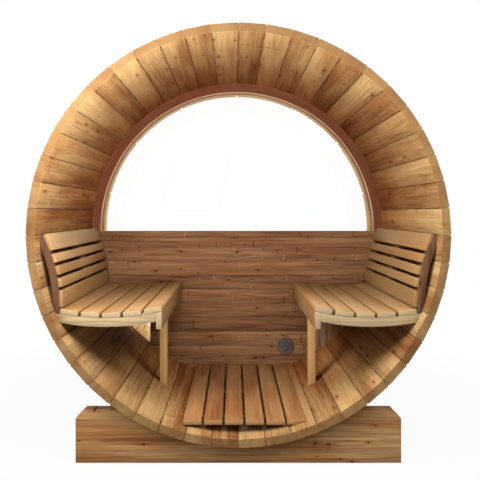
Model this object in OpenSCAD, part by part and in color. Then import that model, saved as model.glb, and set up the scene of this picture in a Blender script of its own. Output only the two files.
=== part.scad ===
// Barrel sauna: a stave barrel lying on two cradle boards, open at the front,
// with a half-moon window over a boarded rear wall, two benches with
// backrests, and a slatted floor. Millimetres; the barrel's axis runs along Y,
// the open front looks to -Y, and the ground is at Z = 0.

/* [Barrel] */
// Outer diameter across the staves' joints
barrel_d = 2057; // [1700:1:2500]
// Length of the barrel from rim to rim
barrel_len = 1500; // [1300:1:2400]
// Thickness of a stave
stave_t = 42; // [36:1:51]
// Size of the chamfer on each outer edge of a stave
stave_notch = 6; // [3:0.5:8]
// Depth of the groove that holds the rear wall
croze_depth = 10; // [6:1:14]
// Clear height under the barrel
ground_gap = 100; // [70:1:160]

/* [Steel hoops] */
// Width of a hoop strap
hoop_w = 30; // [20:1:40]
// Thickness of a hoop strap
hoop_t = 1.5; // [1:0.1:3]
// Distance of each hoop's middle from the barrel's rim
hoop_setback = 210; // [170:1:260]
// Gap between a hoop's two lugs
hoop_gap = 40; // [30:1:60]
// Height of a hoop's lugs
hoop_lug_h = 28; // [24:1:36]
// Thickness of a hoop's lugs
hoop_lug_t = 4; // [3:0.5:6]
// Diameter of the tightening bolt
hoop_bolt_d = 8; // [6:1:10]

/* [Cradles] */
// Width of a cradle board
cradle_w = 1610; // [1400:1:1800]
// Height of a cradle board at its ends
cradle_h = 262; // [230:1:310]
// Thickness of a cradle board
cradle_t = 65; // [45:1:90]
// Distance from the barrel's rim to a cradle board
cradle_setback = 64; // [20:1:80]
// Chamfer on the upper corners of a cradle board
cradle_chamfer = 42; // [0:1:60]

/* [Rear wall] */
// Distance from the barrel's rear rim to the outside of the wall
wall_setback = 343; // [150:1:400]
// Thickness of the wall boards
wall_t = 42; // [38:1:52]
// Drop of the window's lower edge below the barrel's axis
window_drop = 18; // [0:1:120]
// Height of the window sill
sill_h = 40; // [30:1:60]
// How far the sill stands proud inside
sill_nose = 8; // [4:1:20]
// How far the sill stands proud outside
sill_drip = 20; // [10:1:40]
// Visible height of one wall board
board_pitch = 95.4; // [80:0.1:130]
// Visible height of the highest wall board
board_first = 68; // [50:1:95]

/* [Window] */
// Width of the two arches, from the staves to their edge
arch_w = 64; // [50:1:90]
// Thickness of the inner arch
arch_in_t = 18; // [14:1:22]
// Chamfer on the inner arch's visible edge
arch_chamfer = 8; // [3:1:12]
// Thickness of the glass
glass_t = 8; // [6:1:10]
// How far the glass goes into the groove and into the sill
glass_bite = 6; // [4:1:6]

/* [Rear rim strip] */
// Width of the strip that lines the rear rim, along the barrel
rim_strip_w = 44; // [30:1:60]
// Thickness of the strip
rim_strip_t = 13; // [8:1:16]
// Chamfer at the joints of the strip's segments
rim_notch = 10; // [4:1:12]
// Angle that one segment of the strip spans
rim_step = 25; // [22:0.5:29]

/* [Hatches] */
// Distance from the barrel's middle to the right hatch's upright edge
hatch_x = 520; // [480:1:560]
// Distance from the barrel's middle to the left hatch's upright edge
hatch_left_x = 590; // [500:1:620]
// Drop of the hatches' upper edge below the barrel's axis
hatch_drop = 462; // [460:1:520]
// Width of one board of the right-hand hatch's cover
hatch_board_w = 43; // [36:1:70]
// Gap between two boards of the cover
hatch_gap = 2; // [1:0.5:4]
// Thickness of the cover
hatch_t = 22; // [16:1:30]

/* [Vent] */
// Distance of the vent from the barrel's middle
vent_x = 328; // [200:1:380]
// Drop of the vent below the barrel's axis
vent_drop = 795; // [700:1:820]
// Outer diameter of the vent's grilles
vent_d = 115; // [100:1:130]
// Bore of the vent
vent_bore = 94; // [80:1:96]
// Wall of the vent's sleeve
vent_wall = 3; // [2:0.5:4]
// Thickness of a vent grille
vent_face_t = 8; // [5:1:12]
// Thickness of one louvre
louvre_t = 4; // [3:0.5:5]

/* [Benches] */
// Distance from the barrel's front rim to the benches
bench_setback = 70; // [40:1:120]
// Distance from the barrel's middle to a seat's front edge
seat_nose_x = 379; // [330:1:400]
// Width of one seat slat
seat_slat_w = 92; // [85:1:96]
// Gap between two seat slats
seat_gap = 11; // [6:1:12]
// Thickness of a seat slat
seat_slat_t = 27; // [22:1:34]
// Radius of the seat's dished surface
seat_dish_r = 1150; // [1000:1:1500]
// Distance from the barrel's middle to the seat's lowest line
seat_low_x = 660; // [620:1:700]
// Drop of the seat's lowest line below the barrel's axis
seat_drop = 387; // [360:1:430]
// Radius of the seat's rounded front edge
seat_nose_r = 18; // [6:1:22]
// Height of a bench rib
rib_h = 43; // [36:1:60]
// Thickness of a bench rib
rib_t = 28; // [22:1:44]
// Thickness of the board under the seat's front edge
fascia_t = 29; // [22:1:36]
// Height of the seat's lowest line above the foot of that board
fascia_drop = 82; // [70:1:110]
// Width of a bench leg, both ways
leg_w = 44; // [36:1:60]

/* [Backrests] */
// Radius of the backrest's curve
back_r = 700; // [600:1:900]
// Distance from the barrel's middle to the backrest's foremost line
back_x = 868; // [864:1:874]
// Drop of that line below the barrel's axis
back_drop = 330; // [310:1:345]
// Height of the backrest's foot above the seat's lowest line
back_foot = 26; // [24:1:40]
// Widths of the backrest's lowest slat, its middle slats and its top slat
back_low_w = 84; // [80:1:100]
// Width of a middle slat of the backrest
back_mid_w = 45; // [40:1:50]
// Width of the top slat of the backrest
back_top_w = 89; // [80:1:96]
// Gap between two slats of the backrest
back_gap = 18; // [8:1:18]
// Thickness of a backrest slat
back_slat_t = 20; // [16:1:24]
// Thickness of a backrest upright, from front to back
upright_t = 36; // [28:1:44]
// Width of the two end uprights
upright_w = 45; // [35:1:60]
// Width of the middle upright
upright_mid_w = 90; // [60:1:100]

/* [Floor] */
// Drop of the floor's surface below the barrel's axis
deck_drop = 919; // [900:1:930]
// Thickness of a floor slat
deck_t = 24; // [18:1:28]
// Width of a floor slat
deck_slat_w = 93; // [85:1:96]
// Gap between two floor slats
deck_gap = 10.3; // [6:0.1:14]
// How far the floor is set to the right
deck_shift = 30; // [0:1:32]
// Width of a floor batten
deck_batten_w = 45; // [30:1:70]
// Distance from the floor's front edge to its first batten
deck_batten_setback = 110; // [60:1:160]

/* [Hidden] */

LEFT = -1;
RIGHT = 1;

// The barrel's cross-section is a polygon with one flat per stave.
sector_staves = 8;
stave_count = 6 * sector_staves;
stave_angle = 360 / stave_count;
half_angle = stave_angle / 2;
outer_apothem = barrel_d / 2 * cos(half_angle);
inner_apothem = outer_apothem - stave_t;
croze_apothem = inner_apothem + croze_depth;
axis_z = ground_gap + barrel_d / 2;
front_y = -barrel_len / 2;
rear_y = barrel_len / 2;

// The rear wall
wall_y = rear_y - wall_setback - wall_t;
wall_foot = croze_apothem / cos(half_angle);
board_top = window_drop + sill_h;
board_count = 1 + round((wall_foot - board_top - board_first) / board_pitch);
arch_r = inner_apothem - arch_w;
glass_y = wall_y + arch_in_t;
glass_r = inner_apothem + glass_bite;
arch_out_y = glass_y + glass_t;
arch_out_t = wall_t - arch_in_t - glass_t;

// The rear rim's strip: whole segments over the top, down past the axis.
rim_segments = 2 * ceil(95 / rim_step);
rim_strip_r = inner_apothem - rim_strip_t;

// The boards of the hatch's cover, as many as reach the staves
hatch_pitch = hatch_board_w + hatch_gap;
hatch_boards = ceil((inner_apothem * cos(asin(hatch_drop / inner_apothem)) - hatch_x) / hatch_pitch);

// The vent
vent_clear = 0.3;
vent_hole_r = vent_bore / 2 + vent_wall + vent_clear;
louvre_pitch = 11.5;
louvre_tilt = 35;
louvre_depth = 7;

// The benches: sections are drawn for the right-hand side and mirrored.
bench_y = front_y + bench_setback;
bench_len = wall_y - bench_y;
bench_mid_y = bench_y + bench_len / 2;
seat_slats = 5;
seat_pitch = seat_slat_w + seat_gap;
dish_z = seat_dish_r - seat_drop;
ease = 3;

// The backrests end at the sill, which stands proud of the wall.
back_len = bench_len - sill_nose;
seat_clear = 2;
back_slat_widths = [back_low_w, back_mid_w, back_mid_w, back_mid_w, back_top_w];
back_centre_x = back_x + back_r;
back_start = asin((back_drop - seat_drop + back_foot) / back_r);

// The floor
deck_slats = 6;
deck_pitch = deck_slat_w + deck_gap;
deck_half_w = (deck_slats * deck_pitch - deck_gap) / 2;
deck_end_gap = 4;
deck_battens = 3;

reach = barrel_d;

// Extrudes a section, drawn in X and height above the axis, along the barrel.
module along_barrel(y, len) {
    translate([0, y + len, axis_z])
        rotate([90, 0, 0])
            linear_extrude(height = len)
                children();
}

// The barrel's many-sided outline at a given distance from axis to flat.
module barrel_outline(apothem) {
    corner_r = apothem / cos(half_angle);
    polygon([for (i = [0 : stave_count - 1])
        corner_r * [sin(i * stave_angle), cos(i * stave_angle)]]);
}

// Mirrors a right-hand piece onto the left.
module on_side(side) {
    if (side == RIGHT) {
        children();
    } else {
        mirror([1, 0, 0])
            children();
    }
}

// A board's section with eased upper corners, its top face on Y = 0.
module eased_board(width, thickness) {
    polygon([
        [-width / 2, -thickness], [width / 2, -thickness],
        [width / 2, -ease], [width / 2 - ease, 0],
        [ease - width / 2, 0], [-width / 2, -ease]
    ]);
}

// ---- staves ----

module stave_section() {
    side = tan(half_angle);
    notch_y = outer_apothem - stave_notch;
    polygon([
        [-inner_apothem * side, inner_apothem],
        [inner_apothem * side, inner_apothem],
        [notch_y * side, notch_y],
        [outer_apothem * side - stave_notch, outer_apothem],
        [stave_notch - outer_apothem * side, outer_apothem],
        [-notch_y * side, notch_y]
    ]);
}

module stave(index) {
    turn = -(index + 0.5) * stave_angle;
    difference() {
        along_barrel(front_y, barrel_len)
            rotate(turn)
                stave_section();
        along_barrel(wall_y, wall_t)
            rotate(turn)
                translate([-reach / 2, 0])
                    square([reach, croze_apothem]);
    }
}

// Every second stave of one sixth of the barrel, so that none touch.
module stave_set(sector, first) {
    color(first == 0 ? "peru" : "burlywood")
        for (i = [first : 2 : sector_staves - 1])
            stave(sector * sector_staves + i);
}

// ---- steel hoops ----

// The lugs meet over the flat of a stave low on the left.
hoop_lug_angle = (floor(stave_count * 0.55) + 0.5) * stave_angle;
hoop_bolt_z = outer_apothem + hoop_lug_h * 0.6;
hoop_hole_d = hoop_bolt_d + 1;
hoop_head_d = hoop_bolt_d * 1.7;
hoop_head_t = hoop_bolt_d * 0.8;

module at_hoop_lugs(y) {
    translate([0, y, axis_z])
        rotate([0, hoop_lug_angle, 0])
            children();
}

module hoop_strap_section() {
    difference() {
        barrel_outline(outer_apothem + hoop_t);
        barrel_outline(outer_apothem);
        rotate(-hoop_lug_angle)
            translate([-(hoop_gap + hoop_lug_t) / 2, 0])
                square([hoop_gap + hoop_lug_t, reach]);
    }
}

// A lug stands in the strap's thickness and is a little narrower than it.
module hoop_lug(side, y) {
    at_hoop_lugs(y)
        difference() {
            translate([side * (hoop_gap + hoop_lug_t) / 2 - hoop_lug_t / 2,
                    1 - hoop_w / 2, outer_apothem + hoop_t / 2])
                cube([hoop_lug_t, hoop_w - 2, hoop_lug_h]);
            translate([0, 0, hoop_bolt_z])
                rotate([0, 90, 0])
                    cylinder(d = hoop_hole_d, h = 2 * hoop_gap, center = true, $fn = 48);
        }
}

module hoop(y) {
    color("silver") {
        along_barrel(y - hoop_w / 2, hoop_w)
            hoop_strap_section();
        hoop_lug(LEFT, y);
        hoop_lug(RIGHT, y);
    }
}

module hoop_bolt(y) {
    grip = hoop_gap / 2 + hoop_lug_t;
    at_hoop_lugs(y)
        translate([0, 0, hoop_bolt_z])
            rotate([0, 90, 0]) {
                cylinder(d = hoop_bolt_d, h = 2 * (grip + hoop_head_t), center = true, $fn = 48);
                for (side = [LEFT, RIGHT])
                    translate([0, 0, side * (grip + hoop_head_t / 2)])
                        cylinder(d = hoop_head_d, h = hoop_head_t, center = true, $fn = 6);
            }
}

module hoop_front() {
    hoop(front_y + hoop_setback);
}

module hoop_rear() {
    hoop(rear_y - hoop_setback);
}

module hoop_bolts() {
    color("dimgray") {
        hoop_bolt(front_y + hoop_setback);
        hoop_bolt(rear_y - hoop_setback);
    }
}

// ---- cradles ----

module cradle(y) {
    top = cradle_h - axis_z;
    shoulder = top - cradle_chamfer;
    half_w = cradle_w / 2;
    color("chocolate")
        along_barrel(y, cradle_t)
            difference() {
                polygon([
                    [-half_w, -axis_z], [half_w, -axis_z],
                    [half_w, shoulder], [half_w - cradle_chamfer, top],
                    [cradle_chamfer - half_w, top], [-half_w, shoulder]
                ]);
                barrel_outline(outer_apothem);
            }
}

module cradle_front() {
    cradle(front_y + cradle_setback);
}

module cradle_rear() {
    cradle(rear_y - cradle_setback - cradle_t);
}

// ---- rear wall ----

// The part of a section between two drops below the barrel's axis.
module between_drops(top, foot) {
    intersection() {
        children();
        translate([-reach, -foot])
            square([2 * reach, foot - top]);
    }
}

module vent_hole() {
    translate([vent_x, wall_y + wall_t / 2, axis_z - vent_drop])
        rotate([90, 0, 0])
            cylinder(r = vent_hole_r, h = 2 * wall_t, center = true, $fn = 96);
}

// The outline of a hatch on the right-hand side, as far as it is cut.
module hatch_outline(edge) {
    translate([edge, -reach])
        square([reach, reach - hatch_drop]);
}

module wall_board(index) {
    top = board_top + (index == 0 ? 0 : board_first + (index - 1) * board_pitch);
    full = index == 0 ? board_first : board_pitch;
    foot = index == board_count - 1 ? wall_foot : top + full;
    difference() {
        along_barrel(wall_y, wall_t)
            between_drops(top, foot)
                difference() {
                    barrel_outline(croze_apothem);
                    hatch_outline(hatch_x);
                    mirror([1, 0])
                        hatch_outline(hatch_left_x);
                }
        vent_hole();
    }
}

// Every second board of the wall, so that none touch.
module wall_boards(first) {
    color(first == 0 ? "sienna" : "peru")
        for (i = [first : 2 : board_count - 1])
            wall_board(i);
}

module window_sill() {
    color("saddlebrown")
        difference() {
            union() {
                along_barrel(wall_y, wall_t)
                    between_drops(window_drop, board_top)
                        barrel_outline(croze_apothem);
                along_barrel(wall_y - sill_nose, sill_nose + wall_t + sill_drip)
                    between_drops(window_drop, board_top)
                        barrel_outline(inner_apothem);
            }
            translate([-reach / 2, glass_y, axis_z - window_drop - glass_bite])
                cube([reach, glass_t, sill_h]);
        }
}

// ---- window ----

// Everything above the window's lower edge, less a given drop.
module above_sill(drop) {
    intersection() {
        children();
        translate([-reach, -reach, axis_z - window_drop - drop])
            cube([2 * reach, 2 * reach, reach]);
    }
}

module round_opening(r, y, len) {
    translate([0, y, axis_z])
        rotate([-90, 0, 0])
            cylinder(r = r, h = len, $fn = 180);
}

module window_arch_inside() {
    color("brown")
        above_sill(0)
            difference() {
                along_barrel(wall_y, arch_in_t)
                    barrel_outline(croze_apothem);
                round_opening(arch_r, wall_y - 1, arch_in_t + 2);
                translate([0, wall_y, axis_z])
                    rotate([-90, 0, 0])
                        cylinder(r1 = arch_r + arch_chamfer, r2 = arch_r,
                            h = arch_chamfer, $fn = 180);
            }
}

module window_glass() {
    color("lightblue", 0.3)
        above_sill(glass_bite)
            round_opening(glass_r, glass_y, glass_t);
}

module window_arch_outside() {
    color("peru")
        above_sill(0)
            difference() {
                along_barrel(arch_out_y, arch_out_t)
                    barrel_outline(croze_apothem);
                round_opening(arch_r, arch_out_y - 1, arch_out_t + 2);
            }
}

// ---- rear rim strip ----

// One segment of the strip, its ends chamfered on the inside.
module rim_segment(index) {
    low = (index - rim_segments / 2) * rim_step;
    cut_y = rear_y - rim_strip_w - 1;
    cut_len = rim_strip_w + 2;
    difference() {
        intersection() {
            round_opening(inner_apothem, rear_y - rim_strip_w, rim_strip_w);
            along_barrel(cut_y, cut_len)
                polygon([[0, 0],
                    reach * [sin(low), cos(low)],
                    reach * [sin(low + rim_step), cos(low + rim_step)]]);
        }
        round_opening(rim_strip_r, cut_y, cut_len);
        for (angle = [low, low + rim_step])
            along_barrel(cut_y, cut_len)
                rotate(-angle)
                    translate([0, rim_strip_r])
                        rotate(45)
                            square(rim_notch * sqrt(2), center = true);
    }
}

// Every second segment, so that none touch.
module rim_strip(first) {
    color(first == 0 ? "tan" : "wheat")
        for (i = [first : 2 : rim_segments - 1])
            rim_segment(i);
}

// ---- hatch cover ----

module hatch_right_boards() {
    color("rosybrown")
        along_barrel(wall_y, hatch_t)
            intersection() {
                barrel_outline(croze_apothem);
                for (i = [0 : hatch_boards - 1])
                    translate([hatch_x + i * hatch_pitch, -reach])
                        square([hatch_board_w, reach - hatch_drop]);
            }
}

// ---- vent ----

// A round grille with its front face on Y = 0, looking to -Y.
module vent_grille() {
    bore_r = vent_bore / 2;
    louvres = floor(bore_r / louvre_pitch);
    rotate([-90, 0, 0])
        difference() {
            cylinder(d = vent_d, h = vent_face_t, $fn = 96);
            translate([0, 0, -1])
                cylinder(r = bore_r, h = vent_face_t + 2, $fn = 96);
        }
    intersection() {
        rotate([-90, 0, 0])
            cylinder(r = bore_r + 0.5, h = vent_face_t, $fn = 96);
        for (i = [-louvres : louvres])
            translate([0, vent_face_t / 2, i * louvre_pitch])
                rotate([louvre_tilt, 0, 0])
                    cube([vent_d, louvre_depth, louvre_t], center = true);
    }
}

module vent_grille_inside() {
    color("gray")
        translate([vent_x, wall_y - vent_face_t, axis_z - vent_drop])
            vent_grille();
}

module vent_grille_outside() {
    color("gray")
        translate([vent_x, wall_y + wall_t + vent_face_t, axis_z - vent_drop])
            rotate([0, 0, 180])
                vent_grille();
}

module vent_sleeve() {
    color("gainsboro")
        translate([vent_x, wall_y, axis_z - vent_drop])
            rotate([-90, 0, 0])
                difference() {
                    cylinder(r = vent_bore / 2 + vent_wall, h = wall_t, $fn = 96);
                    translate([0, 0, -1])
                        cylinder(r = vent_bore / 2, h = wall_t + 2, $fn = 96);
                }
}

// ---- benches ----

// The frame of one seat slat: its middle on the dished surface, X along it.
module at_seat_slat(index) {
    x = seat_nose_x + seat_slat_w / 2 + index * seat_pitch;
    tilt = asin((x - seat_low_x) / seat_dish_r);
    translate([x, dish_z - seat_dish_r * cos(tilt)])
        rotate(tilt)
            children();
}

// The space taken by all seat slats and what lies above them.
module above_seat_slats() {
    for (i = [0 : seat_slats - 1])
        at_seat_slat(i)
            translate([-seat_pitch / 2 - ease, -seat_slat_t])
                square([seat_pitch + 2 * ease, reach / 4]);
    at_seat_slat(seat_slats - 1)
        translate([0, -seat_slat_t])
            square([reach / 4, reach / 4]);
}

module seat_nose_section() {
    w = seat_slat_w;
    t = seat_slat_t;
    r = seat_nose_r;
    arc = [for (a = [0 : 15 : 90]) [r - r * sin(a) - w / 2, r * cos(a) - r]];
    polygon(concat(
        [[w / 2, -t], [w / 2, -ease], [w / 2 - ease, 0]],
        arc,
        [[-w / 2, -t]]
    ));
}

module bench_slats(side) {
    color("wheat")
        on_side(side)
            along_barrel(bench_y, bench_len) {
                at_seat_slat(0)
                    seat_nose_section();
                for (i = [1 : seat_slats - 1])
                    at_seat_slat(i)
                        eased_board(seat_slat_w, seat_slat_t);
            }
}

// The space under the seat, from the board at its front edge to the barrel.
module under_seat() {
    intersection() {
        barrel_outline(inner_apothem);
        difference() {
            translate([seat_nose_x + fascia_t, -reach])
                square([reach, reach - seat_drop + 2 * seat_slat_t]);
            above_seat_slats();
        }
    }
}

module rib_section() {
    intersection() {
        under_seat();
        translate([seat_low_x, dish_z])
            circle(r = seat_dish_r + seat_slat_t + rib_h, $fn = 360);
    }
}

module bench_ribs(side) {
    color("burlywood")
        on_side(side)
            for (y = [bench_y, bench_mid_y, wall_y - rib_t])
                along_barrel(y, rib_t)
                    rib_section();
}

module bench_fascia(side) {
    color("tan")
        on_side(side)
            along_barrel(bench_y, bench_len)
                difference() {
                    translate([seat_nose_x, -seat_drop - fascia_drop])
                        square([fascia_t, fascia_drop + seat_slat_t]);
                    above_seat_slats();
                }
}

module bench_leg(side) {
    color("burlywood")
        on_side(side)
            along_barrel(bench_mid_y - leg_w, leg_w)
                intersection() {
                    under_seat();
                    translate([seat_nose_x + fascia_t, -reach])
                        square([leg_w, reach]);
                }
}

// ---- backrests ----

// How far along the backrest's curve the foot of a slat lies.
function back_slat_foot(index) = index == 0
    ? 0
    : back_slat_foot(index - 1) + back_slat_widths[index - 1] + back_gap;

// The frame of one backrest slat: its middle, with Y up the slat and X into it.
module at_back_slat(index) {
    middle = back_slat_foot(index) + back_slat_widths[index] / 2;
    turn = back_start + middle / back_r * 180 / PI;
    translate([back_centre_x, -back_drop])
        rotate(-turn)
            translate([-back_r, 0])
                children();
}

// The space taken by all backrest slats and the room before them.
module before_back_slats() {
    for (i = [0 : len(back_slat_widths) - 1])
        at_back_slat(i)
            translate([back_slat_t - reach / 4, -back_slat_widths[i] / 2 - back_gap])
                square([reach / 4, back_slat_widths[i] + 2 * back_gap]);
}

module backrest_slats(side) {
    color("wheat")
        on_side(side)
            along_barrel(bench_y, back_len)
                for (i = [0 : len(back_slat_widths) - 1])
                    at_back_slat(i)
                        rotate(90)
                            eased_board(back_slat_widths[i], back_slat_t);
}

module upright_section() {
    last = len(back_slat_widths) - 1;
    rise = back_slat_foot(last) + back_slat_widths[last] * 0.9;
    top_angle = back_start + rise / back_r * 180 / PI;
    top = back_r * sin(top_angle) - back_drop;
    intersection() {
        difference() {
            translate([back_centre_x, -back_drop])
                circle(r = back_r - back_slat_t + ease, $fn = 360);
            translate([back_centre_x, -back_drop])
                circle(r = back_r - back_slat_t - upright_t, $fn = 360);
            before_back_slats();
            at_seat_slat(seat_slats - 1) {
                translate([-reach / 4, -seat_slat_t - reach / 4])
                    square([reach / 2, reach / 4]);
                translate([-reach / 4, -reach / 8])
                    square([reach / 4 + seat_slat_w / 2 + seat_clear, reach / 8]);
            }
        }
        translate([0, -reach / 2])
            square([reach, reach / 2 + top]);
        barrel_outline(inner_apothem);
    }
}

module backrest_uprights(side) {
    color("sienna")
        on_side(side) {
            along_barrel(bench_y, upright_w)
                upright_section();
            along_barrel(bench_mid_y + rib_t / 2 - upright_mid_w / 2, upright_mid_w)
                upright_section();
            along_barrel(bench_y + back_len - upright_w, upright_w)
                upright_section();
        }
}

// ---- floor ----

module floor_slats() {
    color("peru")
        along_barrel(bench_y, bench_len - deck_end_gap)
            intersection() {
                barrel_outline(inner_apothem);
                for (i = [0 : deck_slats - 1])
                    translate([deck_shift - deck_half_w + i * deck_pitch, -deck_drop - deck_t])
                        square([deck_slat_w, deck_t]);
            }
}

module floor_battens() {
    first = bench_y + deck_batten_setback;
    span = bench_len - 2 * deck_batten_setback - deck_batten_w;
    color("saddlebrown")
        for (i = [0 : deck_battens - 1])
            along_barrel(first + span * i / (deck_battens - 1), deck_batten_w)
                intersection() {
                    barrel_outline(inner_apothem);
                    translate([deck_shift - deck_half_w, -reach])
                        square([2 * deck_half_w, reach - deck_drop - deck_t]);
                }
}

stave_set(0, 0);  // staves_1_odd
stave_set(0, 1);  // staves_1_even
stave_set(1, 0);  // staves_2_odd
stave_set(1, 1);  // staves_2_even
stave_set(2, 0);  // staves_3_odd
stave_set(2, 1);  // staves_3_even
stave_set(3, 0);  // staves_4_odd
stave_set(3, 1);  // staves_4_even
stave_set(4, 0);  // staves_5_odd
stave_set(4, 1);  // staves_5_even
stave_set(5, 0);  // staves_6_odd
stave_set(5, 1);  // staves_6_even
hoop_front();
hoop_rear();
hoop_bolts();
cradle_front();
cradle_rear();
wall_boards(0);  // rear_wall_boards_odd
wall_boards(1);  // rear_wall_boards_even
window_sill();
window_arch_inside();
window_glass();
window_arch_outside();
rim_strip(0);  // rear_rim_strip_odd
rim_strip(1);  // rear_rim_strip_even
hatch_right_boards();
vent_grille_inside();
vent_sleeve();
vent_grille_outside();
bench_slats(LEFT);  // bench_left_slats
bench_ribs(LEFT);  // bench_left_ribs
bench_fascia(LEFT);  // bench_left_fascia
bench_leg(LEFT);  // bench_left_leg
backrest_slats(LEFT);  // backrest_left_slats
backrest_uprights(LEFT);  // backrest_left_uprights
bench_slats(RIGHT);  // bench_right_slats
bench_ribs(RIGHT);  // bench_right_ribs
bench_fascia(RIGHT);  // bench_right_fascia
bench_leg(RIGHT);  // bench_right_leg
backrest_slats(RIGHT);  // backrest_right_slats
backrest_uprights(RIGHT);  // backrest_right_uprights
floor_slats();
floor_battens();
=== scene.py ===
"""A barrel sauna of wooden staves, finished board by board.

Metres. The barrel's axis runs along Y, the open front looks to -Y and the
ground is at Z = 0.
"""

import logging
import math
import random
from dataclasses import dataclass, field
from enum import Enum
from typing import Callable, Iterable, Sequence

import bmesh
import bpy
from mathutils import Matrix, Vector

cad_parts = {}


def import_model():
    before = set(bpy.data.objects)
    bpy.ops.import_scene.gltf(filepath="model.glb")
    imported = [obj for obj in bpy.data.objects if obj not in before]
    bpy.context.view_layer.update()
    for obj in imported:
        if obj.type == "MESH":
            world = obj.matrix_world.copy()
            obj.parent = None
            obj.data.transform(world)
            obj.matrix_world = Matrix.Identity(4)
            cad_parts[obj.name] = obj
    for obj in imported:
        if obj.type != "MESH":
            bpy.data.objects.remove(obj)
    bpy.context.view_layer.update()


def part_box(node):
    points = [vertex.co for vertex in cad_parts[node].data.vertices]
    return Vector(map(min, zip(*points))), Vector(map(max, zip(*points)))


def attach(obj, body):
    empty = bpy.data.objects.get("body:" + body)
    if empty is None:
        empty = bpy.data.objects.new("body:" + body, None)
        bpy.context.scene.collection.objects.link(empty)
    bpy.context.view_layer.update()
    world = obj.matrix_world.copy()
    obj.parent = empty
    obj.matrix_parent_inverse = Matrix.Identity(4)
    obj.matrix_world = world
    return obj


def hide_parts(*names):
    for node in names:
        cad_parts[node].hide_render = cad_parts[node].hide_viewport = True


log = logging.getLogger("barrel_sauna")

Piece = bpy.types.Object
Socket = bpy.types.NodeSocket
Value = float | Socket
Colour = tuple[float, float, float]
Often = tuple[float, float, float]

BODY = "root"
ACROSS = Vector((1, 0, 0))
ALONG = Vector((0, 1, 0))
UPWARD = Vector((0, 0, 1))

# How often a pattern changes in a metre across, along and through a board
WANDER: Often = (5.0, 1.3, 5.0)
WARM_PATCHES: Often = (7.0, 1.7, 7.0)
BROAD_BANDS: Often = (17.0, 1.1, 17.0)
STREAKS: Often = (120.0, 2.6, 120.0)
DARK_STREAKS: Often = (260.0, 5.0, 260.0)
FINE_STREAKS: Often = (430.0, 9.0, 430.0)
SEAM_WEAR: Often = (0.0, 9.0, 0.0)
MARK_WIGGLE: Often = (70.0, 40.0, 70.0)
MARK_BREAKS: Often = (160.0, 20.0, 160.0)
RAGGED_KNOTS: Often = (120.0, 90.0, 60.0)
ORANGE_PEEL: Often = (900.0, 900.0, 900.0)
# How far one board's patterns lie from the next one's
BOARD_APART = (37.0, 91.0, 53.0)

# How deep under a board's face its pith lies, and how far aside
PITH_DEPTH = (0.035, 0.12)
PITH_ASIDE = 0.05
# Points of a frame's node nearer than this are one, and so are faces that bend less
MERGE = 0.00002
FLAT = math.radians(0.4)
# Edges of a frame's node that bend more than this are eased
SHARP = math.radians(28)
# How far the edges of a small metal part are rounded
METAL_EDGE = 0.0006


class Side(Enum):
    """The two sides of the room, with the sign of their X."""

    LEFT = -1
    RIGHT = 1

    @property
    def word(self) -> str:
        """The side's name as the frame spells it."""
        return self.name.lower()


def tint(red: int, green: int, blue: int) -> Colour:
    """Turns a paint chart's 0 to 255 values into linear light.

    Args:
        red: Red value.
        green: Green value.
        blue: Blue value.

    Returns:
        The three linear values.
    """

    def linear(value: int) -> float:
        """One channel of it."""
        part = value / 255
        return part / 12.92 if part <= 0.04045 else ((part + 0.055) / 1.055) ** 2.4

    return linear(red), linear(green), linear(blue)


# ---- finishes ----


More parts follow.
